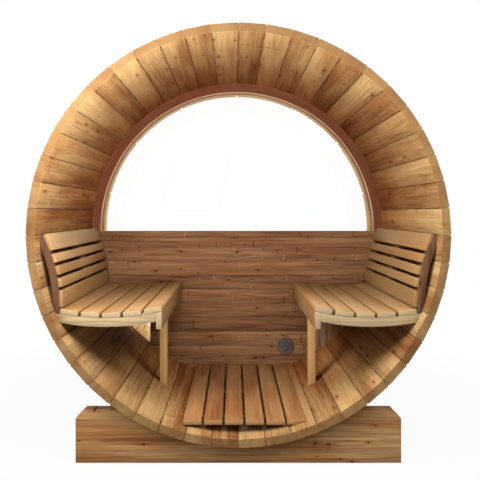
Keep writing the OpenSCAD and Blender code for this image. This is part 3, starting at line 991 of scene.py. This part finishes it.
@dataclass
class Barrel:
    """Forty-eight staves round the axis, held by two steel hoops."""

    finishes: Finishes
    length_low: float = field(init=False)
    length_high: float = field(init=False)
    axis: float = field(init=False)
    diameter: float = 2.057
    stave: float = 0.042
    notch: float = 0.006
    joint: float = 0.0018
    end_ease: float = 0.0009
    slack: float = 0.00002
    groove: float = 0.010
    # How much paler the lower staves' rim ends are painted: painted light on the lower rim
    bare_end: float = 0.5
    sectors: int = 6
    per_sector: int = 8
    tones: tuple[float, float] = (0.3, 0.68)
    tone_spread: float = 0.3
    bolt: tuple[float, float] = (0.004, 0.058)
    nut: tuple[float, float] = (0.0066, 0.0052)
    nut_place: float = 0.0268
    dice: random.Random = field(default_factory=lambda: random.Random(48))

    def __post_init__(self) -> None:
        """Reads the barrel's axis and its two rims from the frame."""
        sectors = range(1, self.sectors + 1)
        boxes = [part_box(f"staves_{sector}_{turn}") for sector in sectors for turn in ("odd", "even")]
        self.axis = (min(b[0].z for b in boxes) + max(b[1].z for b in boxes)) / 2
        self.length_low = boxes[0][0].y
        self.length_high = boxes[0][1].y

    @property
    def step(self) -> float:
        """The angle that one stave spans."""
        return 2 * math.pi / (self.sectors * self.per_sector)

    @property
    def outer(self) -> float:
        """Distance from the axis to a stave's outer face."""
        return self.diameter / 2 * math.cos(self.step / 2)

    @property
    def inner(self) -> float:
        """Distance from the axis to a stave's inner face."""
        return self.outer - self.stave

    def make(self) -> None:
        """Makes the staves and the hoops."""
        master = self.model_stave()
        for sector in range(self.sectors):
            for first, turn in enumerate(("odd", "even")):
                self.lay_sector(master, sector, first, turn)
        discard(master)
        self.make_hoops()

    def model_stave(self) -> Piece:
        """Models one stave over the axis: tapered, notched and grooved."""
        half = math.tan(self.step / 2)
        top, foot = self.axis + self.outer, self.axis + self.inner
        wide = self.outer * half - self.slack
        stave = block(
            "stave", Vector((-wide, self.length_low, foot)), Vector((wide, self.length_high, top))
        )
        edit(stave, "FACE")
        pick_faces(stave, lambda middle, normal: normal.z < -0.9)
        taper = (self.inner * half - self.slack) / wide
        bpy.ops.transform.resize(value=(taper, 1, 1), center_override=(0, 0, foot))
        bpy.ops.mesh.select_mode(type="EDGE")
        pick_edges(stave, lambda a, b: min(a.z, b.z) > top - 0.001 and abs(a.y - b.y) > 0.1)
        bpy.ops.mesh.bevel(offset=self.notch, segments=1, affect="EDGES")
        pick_edges(stave, lambda a, b: max(a.z, b.z) < foot + 0.001 and abs(a.y - b.y) > 0.1)
        bpy.ops.mesh.bevel(offset=self.joint, segments=2, affect="EDGES")
        pick_edges(stave, lambda a, b: abs(a.y - b.y) < 0.001)
        bpy.ops.mesh.bevel(offset=self.end_ease, segments=1, affect="EDGES")
        self.groove_stave(stave, foot)
        close(stave)
        centre = Vector((0, 0, (top + foot) / 2))
        return Grain(ALONG, UPWARD).lay(stave, centre)

    def groove_stave(self, stave: Piece, foot: float) -> None:
        """Cuts the groove that holds the rear wall.

        Args:
            stave: The stave, open in edit mode.
            foot: The height of its inner face. It is not used.
        """
        low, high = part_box("rear_wall_boards_odd")
        for place in (low.y, high.y):
            bpy.ops.mesh.select_all(action="SELECT")
            bpy.ops.mesh.bisect(plane_co=(0, place, 0), plane_no=(0, 1, 0))
        bpy.ops.mesh.select_mode(type="FACE")
        pick_faces(stave, lambda middle, normal: low.y < middle.y < high.y and normal.z < -0.9)
        bpy.ops.mesh.extrude_region_move(TRANSFORM_OT_translate={"value": (0, 0, self.groove)})

    def lay_sector(self, master: Piece, sector: int, first: int, turn: str) -> None:
        """Lays every second stave of one sixth of the barrel.

        Args:
            master: The modelled stave.
            sector: Which sixth.
            first: Which of its staves comes first.
            turn: The frame's word for that row.
        """
        half = self.inner * math.tan(self.step / 2)
        staves = []
        for index in range(first, self.per_sector, 2):
            number = sector * self.per_sector + index
            place = turned(self.axis, (number + 0.5) * self.step)
            board = copy_of(master, place, f"stave_{number}")
            # Painted light: the lower staves' rim ends are painted paler
            self.bare_ends(board, number)
            staves.append(pick_board(board, self.dice, self.stave_tone(number), half))
        piece = joined(f"barrel_staves_{sector + 1}_{turn}", staves)
        self.finishes.dress(piece, "barrel_wood", f"staves_{sector + 1}_{turn}")

    def bare_ends(self, board: Piece, number: int) -> None:
        """Paints the rim ends of the lower staves paler, more so towards the bottom: painted light on the
        lower rim.

        Args:
            board: The stave.
            number: Its place, counted from the top.
        """
        lowness = (1 - math.cos((number + 0.5) * self.step)) / 2
        sawn = [0.0] * len(board.data.polygons)
        board.data.attributes["end"].data.foreach_get("value", sawn)
        write_ends(board.data, [value * (1 - self.bare_end * lowness) for value in sawn])

    def stave_tone(self, number: int) -> float:
        """Pale and dark staves take turns, though never quite evenly."""
        tone = self.tones[number % 2] + self.dice.uniform(-self.tone_spread, self.tone_spread)
        return min(1.0, max(0.0, tone))

    def make_hoops(self) -> None:
        """Finishes the straps and makes their bolts."""
        for node in ("hoop_front", "hoop_rear"):
            dress_frame(self.finishes, node, "hoop_steel")
        low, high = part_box("hoop_bolts")
        parts: list[Piece] = []
        for node in ("hoop_front", "hoop_rear"):
            strap_low, strap_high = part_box(node)
            middle = (low + high) / 2
            middle.y = (strap_low.y + strap_high.y) / 2
            parts += self.model_bolt(middle)
        self.finishes.dress(joined("hoop_tension_bolts", parts), "hoop_steel", "hoop_bolts")

    def model_bolt(self, middle: Vector) -> list[Piece]:
        """Models one tightening bolt: its rod and its two nuts.

        Args:
            middle: The bolt's middle.

        Returns:
            The bolt's parts.
        """
        out = Vector((middle.x, 0, middle.z - self.axis)).normalized()
        run = Vector((out.z, 0, -out.x))
        parts = [close(rod("bolt_rod", middle, run, *self.bolt, 24))]
        for sign in (-1, 1):
            nut = rod("bolt_nut", middle + run * sign * self.nut_place, run, *self.nut, 6)
            ease_metal(nut)
            parts.append(close(nut))
        return parts


@dataclass
class Cradles:
    """Two boards that the barrel lies on."""

    finishes: Finishes
    edge: float = 0.0025
    dice: random.Random = field(default_factory=lambda: random.Random(11))

    def make(self) -> None:
        """Planes both boards."""
        for end in ("front", "rear"):
            make_boards(
                self.finishes, f"cradle_{end}", f"cradle_board_{end}", "cradle_wood",
                Grain(ACROSS, -ALONG), self.dice, ease=self.edge,
            )


@dataclass
class RearWall:
    """Boards across the barrel, a sill on top, a vent and a hatch cover."""

    finishes: Finishes
    edge: float = 0.0014
    sill_edge: float = 0.002
    sill_tone: float = 0.35
    no_seam: float = 1.0
    dice: random.Random = field(default_factory=lambda: random.Random(5))

    def make(self) -> None:
        """Planes the boards, the sill and the hatch cover."""
        for turn in ("odd", "even"):
            make_boards(
                self.finishes, f"rear_wall_boards_{turn}", f"wall_boards_{turn}", "wall_wood",
                Grain(ACROSS, -ALONG), self.dice, ease=self.edge,
            )
        make_boards(
            self.finishes, "window_sill", "sill_board", "wall_wood", Grain(ACROSS, UPWARD),
            self.dice, ease=self.sill_edge, tone=self.sill_tone, half=self.no_seam,
        )
        make_boards(
            self.finishes, "hatch_right_boards", "hatch_cover", "hatch_wood",
            Grain(UPWARD, -ALONG), self.dice, ease=self.edge,
        )


@dataclass
class Window:
    """Two arches that hold a half-moon of glass, and the rear rim's strip."""

    finishes: Finishes
    barrel: Barrel
    arch_width: float = 0.064
    arch_reach: float = math.radians(186)
    arch_steps: int = 93
    chamfer: float = 0.008
    outer_chamfer: float = 0.002
    segments: int = 8
    step: float = math.radians(25)
    strip_width: float = 0.013
    strip_steps: int = 14
    strip_gap: float = 0.0006
    strip_edge: float = 0.0015
    strip_chamfer: float = 0.010
    dice: random.Random = field(default_factory=lambda: random.Random(23))

    def make(self) -> None:
        """Makes the arches, the glass and the strip."""
        self.make_arch("window_arch_inside", "inner_arch", "arch_wood", self.chamfer)
        self.make_arch("window_arch_outside", "outer_arch", "outer_arch_wood", self.outer_chamfer)
        dress_frame(self.finishes, "window_glass", "window_glass")
        self.make_strip()

    def make_arch(self, node: str, name: str, slot: str, chamfer: float) -> None:
        """Bends one arch.

        Args:
            node: The frame's node.
            name: The piece's name.
            slot: Its finish.
            chamfer: The chamfer on its visible edge.
        """
        low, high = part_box(node)
        outer = self.barrel.inner + self.barrel.groove
        inner = self.barrel.inner - self.arch_width
        arch = self.bend(
            name, inner, outer, low.y, high.y, self.arch_reach, self.arch_steps, chamfer
        )
        edit(arch)
        bpy.ops.mesh.select_all(action="SELECT")
        bpy.ops.mesh.bisect(
            plane_co=(0, 0, low.z), plane_no=(0, 0, 1), clear_inner=True, use_fill=True
        )
        close(arch, 25)
        RoundGrain(self.barrel.axis, inner + self.arch_width / 2, low.y).lay(arch)
        # Painted highlight: the chamfer faces take the arch's pale end colour, so the edge shows as a lit
        # line
        painted_highlight_faces = [1.0 if 0.3 < -face.normal.y < 0.95 else 0.0 for face in arch.data.polygons]
        write_ends(arch.data, painted_highlight_faces)
        self.finishes.dress(pick_board(arch, self.dice, 0.5), slot, node)

    def bend(self, name: str, inner: float, outer: float, front: float, back: float,
             angle: float, steps: int, chamfer: float) -> Piece:
        """Spins a rectangle round the barrel's axis, over the top.

        Args:
            name: The piece's name.
            inner: Its inner radius.
            outer: Its outer radius.
            front: Its front face.
            back: Its back face.
            angle: How far it reaches round.
            steps: How many steps it takes.
            chamfer: The chamfer on its inner front edge.

        Returns:
            The bent piece.
        """
        centre = Vector((0, 0, self.barrel.axis))
        middle = centre + Vector((0, (front + back) / 2, (inner + outer) / 2))
        bpy.ops.mesh.primitive_plane_add(size=1, location=middle, rotation=(0, math.pi / 2, 0))
        piece = bpy.context.object
        piece.name = name
        piece.scale = (outer - inner, back - front, 1)
        settle(piece)
        edit(piece, "VERT")
        mesh = bmesh.from_edit_mesh(piece.data)
        for corner in mesh.verts:
            corner.select_set(corner.co.y < middle.y and corner.co.z < middle.z)
        bmesh.update_edit_mesh(piece.data)
        bpy.ops.mesh.bevel(offset=chamfer, segments=1, affect="VERTICES")
        bpy.ops.mesh.select_all(action="SELECT")
        bpy.ops.mesh.delete(type="ONLY_FACE")
        bpy.ops.mesh.select_all(action="SELECT")
        bpy.ops.mesh.spin(steps=steps, angle=angle, center=centre, axis=(0, 1, 0))
        bpy.ops.mesh.select_all(action="SELECT")
        bpy.ops.mesh.remove_doubles(threshold=0.00001)
        bpy.ops.mesh.fill_holes(sides=8)
        bpy.ops.mesh.select_all(action="SELECT")
        bpy.ops.mesh.normals_make_consistent(inside=False)
        select_only(piece)
        leans = 1 if middle_of(piece).x > 0 else -1
        piece.data.transform(turned(self.barrel.axis, -leans * angle / 2))
        return piece

    def make_strip(self) -> None:
        """Models one length of the rear rim's strip and lays eight."""
        low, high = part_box("rear_rim_strip_odd")
        axis, inner = self.barrel.axis, self.barrel.inner - self.strip_width
        master = self.bend(
            "strip_length", inner, self.barrel.inner, low.y, high.y,
            self.step - self.strip_gap, self.strip_steps, self.strip_edge,
        )
        edit(master)
        pick_edges(
            master,
            lambda a, b: abs(a.y - b.y) > 0.02
            and math.hypot(a.x, a.z - axis) < inner + 0.001
            and abs(abs(math.atan2(a.x, a.z - axis)) - self.step / 2) < 0.002,
        )
        bpy.ops.mesh.bevel(offset=self.strip_chamfer, segments=1, affect="EDGES")
        close(master, 25)
        RoundGrain(axis, inner, low.y).lay(master)
        for first, turn in enumerate(("odd", "even")):
            lengths = []
            for index in range(first, self.segments, 2):
                place = turned(axis, (index + 0.5 - self.segments / 2) * self.step)
                lengths.append(pick_board(copy_of(master, place, f"strip_{index}"), self.dice))
            piece = joined(f"rim_strip_{turn}", lengths)
            self.finishes.dress(piece, "rim_strip_wood", f"rear_rim_strip_{turn}")
        discard(master)


@dataclass
class Vent:
    """A round vent with tilted louvres on both faces of the wall."""

    finishes: Finishes
    bore: float = 0.047
    ring_round: float = 0.0022
    pitch: float = 0.0115
    tilt: float = math.radians(60)
    louvre_deep: float = 0.011
    louvre_thick: float = 0.0024
    louvre_hold: float = 0.001

    def make(self) -> None:
        """Makes both grilles and finishes the sleeve."""
        for end in ("inside", "outside"):
            node = f"vent_grille_{end}"
            self.finishes.dress(self.model_grille(node, end), "vent_metal", node)
        dress_frame(self.finishes, "vent_sleeve", "vent_metal")

    def model_grille(self, node: str, end: str) -> Piece:
        """Models one grille.

        Args:
            node: The frame's node.
            end: Which face of the wall it is on.

        Returns:
            The grille.
        """
        low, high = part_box(node)
        middle = (low + high) / 2
        ring = rod(f"vent_ring_{end}", middle, ALONG, (high.x - low.x) / 2, high.y - low.y, 64)
        edit(ring, "FACE")
        pick_faces(ring, lambda place, normal: abs(normal.y) > 0.9)
        bpy.ops.mesh.inset(thickness=(high.x - low.x) / 2 - self.bore, use_individual=True)
        bpy.ops.mesh.bridge_edge_loops()
        bpy.ops.mesh.select_all(action="DESELECT")
        bpy.ops.mesh.select_mode(type="EDGE")
        visible = low.y if end == "inside" else high.y
        pick_edges(ring, lambda a, b: abs(a.y - visible) < 1e-4 and abs(b.y - visible) < 1e-4)
        bpy.ops.mesh.bevel(offset=self.ring_round, segments=3, affect="EDGES")
        parts = [close(ring)]
        rows = int(self.bore / self.pitch)
        lean = -self.tilt if end == "inside" else self.tilt
        for row in range(-rows, rows + 1):
            half = math.sqrt((self.bore + self.louvre_hold) ** 2 - (row * self.pitch) ** 2)
            corner = Vector((half, self.louvre_deep / 2, self.louvre_thick / 2))
            louvre = block(f"louvre_{row}", -corner, corner)
            ease_metal(louvre)
            louvre.rotation_euler = (lean, 0, 0)
            louvre.location = middle + UPWARD * row * self.pitch
            parts.append(close(settle(louvre)))
        return joined(f"vent_cover_{end}", parts)


@dataclass(frozen=True)
class SeatPlan:
    """Where the slats of a bench and its backrest lie, as on a drawing."""

    nose: float = 0.379
    slat: float = 0.092
    gap: float = 0.011
    thick: float = 0.027
    dish: float = 1.150
    lowest: float = 0.660
    drop: float = 0.387
    slats: int = 5
    back_radius: float = 0.700
    back_nearest: float = 0.868
    back_drop: float = 0.330
    back_foot: float = 0.026
    back_thick: float = 0.020
    back_gap: float = 0.018
    back_widths: tuple[float, ...] = (0.084, 0.045, 0.045, 0.045, 0.089)

    def seat_place(self, index: int) -> Matrix:
        """The place of a seat slat on the right, from the barrel's axis."""
        x = self.nose + self.slat / 2 + index * (self.slat + self.gap)
        tilt = math.asin((x - self.lowest) / self.dish)
        z = self.dish - self.drop - self.dish * math.cos(tilt)
        return Matrix.Translation((x, 0, z)) @ Matrix.Rotation(-tilt, 4, "Y")

    def back_place(self, index: int) -> Matrix:
        """The place of a backrest slat on the right, from the barrel's axis."""
        start = math.asin((self.back_drop - self.drop + self.back_foot) / self.back_radius)
        foot = sum(self.back_widths[:index]) + index * self.back_gap
        turn = start + (foot + self.back_widths[index] / 2) / self.back_radius
        return (
            Matrix.Translation((self.back_nearest + self.back_radius, 0, -self.back_drop))
            @ Matrix.Rotation(turn, 4, "Y")
            @ Matrix.Translation((-self.back_radius, 0, 0))
            @ Matrix.Rotation(-math.pi / 2, 4, "Y")
        )


@dataclass
class Bench:
    """One bench with its ribs, its leg and its backrest."""

    finishes: Finishes
    barrel: Barrel
    side: Side
    plan: SeatPlan = SeatPlan()
    nose_round: float = 0.018
    edge_round: float = 0.0032
    frame_edge: float = 0.002

    def __post_init__(self) -> None:
        """Throws the side's own dice."""
        self.dice = random.Random(70 + self.side.value)

    def make(self) -> None:
        """Makes the seat, its under-frame and the backrest."""
        self.make_seat()
        self.make_back()
        word = self.side.word
        frame_parts = (
            (f"bench_{word}_ribs", "seat_ribs", Grain(ACROSS, ALONG), "bench_wood", 1.0),
            (f"bench_{word}_fascia", "seat_front_board", Grain(ALONG, ACROSS), "bench_wood", 0.6),
            (f"bench_{word}_leg", "seat_leg", Grain(UPWARD, ACROSS), "bench_wood", 1.0),
            (f"backrest_{word}_uprights", "back_uprights", Grain(UPWARD, ALONG), "upright_wood", 0.5),
        )
        for node, name, grain, slot, tone in frame_parts:
            part = make_boards(
                self.finishes, node, f"{name}_{word}", slot, grain, self.dice,
                ease=self.frame_edge, tone=tone,
            )
            # Painted light: the front faces of the ribs and the leg take the pale end colour, as if lit from
            # the front; the leg's palest tone, 1.0, adds to it
            if name in ("seat_ribs", "seat_leg"):
                mesh = part.data
                write_ends(mesh, [1.0 if face.normal.y < -0.8 else 0.0 for face in mesh.polygons])
            # Painted light: the leg takes the paler copy of the bench wood
            if name == "seat_leg":
                part.data.materials[0] = self.finishes.of("leg_boards")

    def place(self, matrix: Matrix) -> Matrix:
        """Turns a place on the right, from the axis, into this side's in the room."""
        mirror = Matrix.Diagonal((self.side.value, 1, 1, 1))
        return Matrix.Translation((0, 0, self.barrel.axis)) @ mirror @ matrix @ mirror

    def model_slat(self, width: float, thick: float, low: float, high: float, nose: float = 0.0) -> Piece:
        """Models a slat with its upper face at 0.

        Args:
            width: Its width.
            thick: Its thickness.
            low: Its front end.
            high: Its rear end.
            nose: The radius of its front edge, or 0 for an eased one.

        Returns:
            The slat.
        """
        slat = block("slat", Vector((-width / 2, low, -thick)), Vector((width / 2, high, 0)))
        edit(slat)
        if nose:
            toward = -self.side.value * width / 2
            pick_edges(
                slat,
                lambda a, b: abs(a.y - b.y) > 0.1
                and min(a.z, b.z) > -1e-4
                and abs(a.x - toward) < 1e-4,
            )
            bpy.ops.mesh.bevel(offset=nose, segments=8, affect="EDGES")
        bpy.ops.mesh.select_all(action="DESELECT")
        bpy.ops.mesh.edges_select_sharp(sharpness=math.radians(40))
        bpy.ops.mesh.bevel(offset=self.edge_round, segments=3, affect="EDGES")
        return Grain(ALONG, UPWARD).lay(close(slat, 40), Vector((0, 0, -thick / 2)))

    def make_seat(self) -> None:
        """Lays the five seat slats, the first with its rounded nose."""
        node = f"bench_{self.side.word}_slats"
        low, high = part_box(node)
        plan = self.plan
        nose = self.model_slat(plan.slat, plan.thick, low.y, high.y, self.nose_round)
        plain = self.model_slat(plan.slat, plan.thick, low.y, high.y)
        slats = [
            pick_board(
                copy_of(plain if index else nose, self.place(plan.seat_place(index)), f"seat_{index}"),
                self.dice,
            )
            for index in range(plan.slats)
        ]
        discard(nose, plain)
        self.finishes.dress(joined(f"seat_slats_{self.side.word}", slats), "bench_wood", node)

    def make_back(self) -> None:
        """Lays the five slats of the backrest up its curve."""
        node = f"backrest_{self.side.word}_slats"
        low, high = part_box(node)
        plan = self.plan
        slats = []
        for index, width in enumerate(plan.back_widths):
            slat = self.model_slat(width, plan.back_thick, low.y, high.y)
            write_ends(slat.data, [0.0] * len(slat.data.polygons))
            slat.data.transform(self.place(plan.back_place(index)))
            slats.append(pick_board(slat, self.dice))
        self.finishes.dress(joined(f"back_slats_{self.side.word}", slats), "bench_wood", node)


@dataclass
class Floor:
    """Six slats on three battens."""

    finishes: Finishes
    slat_edge: float = 0.003
    batten_edge: float = 0.0015
    dice: random.Random = field(default_factory=lambda: random.Random(6))

    def make(self) -> None:
        """Planes the slats and the battens."""
        parts = (("slats", ALONG, self.slat_edge), ("battens", ACROSS, self.batten_edge))
        for part, run, edge in parts:
            make_boards(
                self.finishes, f"floor_{part}", f"walking_{part}", "floor_wood",
                Grain(run, UPWARD), self.dice, ease=edge,
            )


# ---- the studio ----


@dataclass(frozen=True)
class Panel:
    """A rectangular light panel, large and soft or small and near."""

    name: str
    place: tuple[float, float, float]
    aim: tuple[float, float, float]
    size: tuple[float, float]
    power: float

    def hang(self) -> None:
        """Adds the panel to the scene."""
        light = bpy.data.lights.new(self.name, "AREA")
        light.shape = "RECTANGLE"
        light.size, light.size_y = self.size
        light.energy = self.power
        lamp = bpy.data.objects.new(self.name, light)
        lamp.visible_camera = False
        bpy.context.scene.collection.objects.link(lamp)
        lamp.location = self.place
        toward = Vector(self.aim) - Vector(self.place)
        lamp.rotation_euler = toward.to_track_quat("-Z", "Y").to_euler()


@dataclass(frozen=True)
class Studio:
    """The camera, the lights, the white surroundings and the floor."""

    lens: float = 42.42
    sensor: float = 36.0
    stand_off: float = 2.73
    aside: float = -0.024
    above_axis: float = 0.112
    shift: tuple[float, float] = (0.0135, -0.0583)
    ambient: float = 0.0
    floor_side: float = 40.0
    panels: tuple[Panel, ...] = (
        Panel("high_panel", (0.0, -3.0, 6.6), (0.0, -0.4, 1.0), (4.2, 2.2), 154.0),
        Panel("overhead_panel", (0.0, -1.3, 4.6), (0.0, -0.6, 0.6), (3.0, 0.8), 104.0),
        Panel("left_panel", (-2.8, -2.8, 3.6), (0.0, -0.4, 1.0), (2.0, 2.0), 199.0),
        Panel("right_panel", (2.8, -2.8, 3.6), (0.0, -0.4, 1.0), (2.0, 2.0), 136.0),
        Panel("front_panel", (0.0, -5.5, 3.0), (0.0, 0.0, 1.0), (3.0, 1.6), 28.0),
        Panel("left_rim_panel", (-1.2, -1.4, 2.4), (0.0, 0.0, 1.1), (0.9, 0.9), 16.0),
        Panel("low_left_panel", (-1.7, -2.6, 1.0), (-0.7, -0.75, 0.5), (0.8, 0.6), 13.0),
        Panel("upper_left_panel", (-0.4, -1.35, 1.55), (-0.85, -0.4, 1.95), (0.6, 0.6), 30.0),
        Panel("upper_right_panel", (0.4, -1.35, 1.55), (0.85, -0.4, 1.95), (0.6, 0.6), 14.0),
        Panel("rear_panel", (1.2, 3.0, 2.5), (-0.4, 0.6, 0.8), (1.2, 1.2), 20.0),
        Panel("recess_panel", (0.0, 0.46, 1.13), (0.0, 1.46, 1.13), (1.0, 1.0), 25.0),
        Panel("hatch_panel", (-0.05, 0.68, 0.78), (-0.75, 0.58, 0.45), (0.15, 0.15), 8.0),
    )

    def set_up(self, barrel: Barrel) -> None:
        """Sets up everything that isn't the sauna.

        Args:
            barrel: The barrel that the camera looks into.
        """
        self.place_camera(barrel)
        for panel in self.panels:
            panel.hang()
        self.surround()
        self.lay_floor()
        bpy.context.scene.view_settings.view_transform = "Standard"

    def place_camera(self, barrel: Barrel) -> None:
        """Looks squarely into the open front from a little above the axis."""
        data = bpy.data.cameras.new("view_into_barrel")
        data.lens, data.sensor_width = self.lens, self.sensor
        data.shift_x, data.shift_y = self.shift
        camera = bpy.data.objects.new("view_into_barrel", data)
        bpy.context.scene.collection.objects.link(camera)
        camera.location = (self.aside, barrel.length_low - self.stand_off, barrel.axis + self.above_axis)
        camera.rotation_euler = (math.pi / 2, 0, 0)
        bpy.context.scene.camera = camera

    def surround(self) -> None:
        """Shows white behind the sauna, and lights it with the ambient share of that."""
        world = bpy.data.worlds.new("white_surroundings")
        bpy.context.scene.world = world
        r = Recipe(world)
        soft = r.add("ShaderNodeBackground", {0: (1.0, 1.0, 1.0, 1.0), 1: self.ambient})
        white = r.add("ShaderNodeBackground", {0: (1.0, 1.0, 1.0, 1.0), 1: 1.0})
        mix = r.add("ShaderNodeMixShader", {0: r.seen(), 1: soft, 2: white})
        r.add("ShaderNodeOutputWorld", {0: mix})

    def lay_floor(self) -> None:
        """Lays the pale floor."""
        bpy.ops.mesh.primitive_plane_add(size=self.floor_side, location=(0, 0, 0))
        floor = settle(bpy.context.object)
        floor.name = "studio_floor"
        floor.data.materials.append(StudioFloor().mixed())


def main() -> None:
    """Makes the sauna, sub-assembly by sub-assembly."""
    logging.basicConfig(level=logging.INFO, format="%(name)s: %(message)s")
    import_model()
    finishes = Finishes()
    barrel = Barrel(finishes)
    Studio().set_up(barrel)
    assemblies: Iterable = (
        barrel,
        Cradles(finishes),
        RearWall(finishes),
        Window(finishes, barrel),
        Vent(finishes),
        Bench(finishes, barrel, Side.LEFT),
        Bench(finishes, barrel, Side.RIGHT),
        Floor(finishes),
    )
    for assembly in assemblies:
        assembly.make()
        log.info("%s done", type(assembly).__name__)
    bpy.context.view_layer.update()


if __name__ == "__main__":
    main()
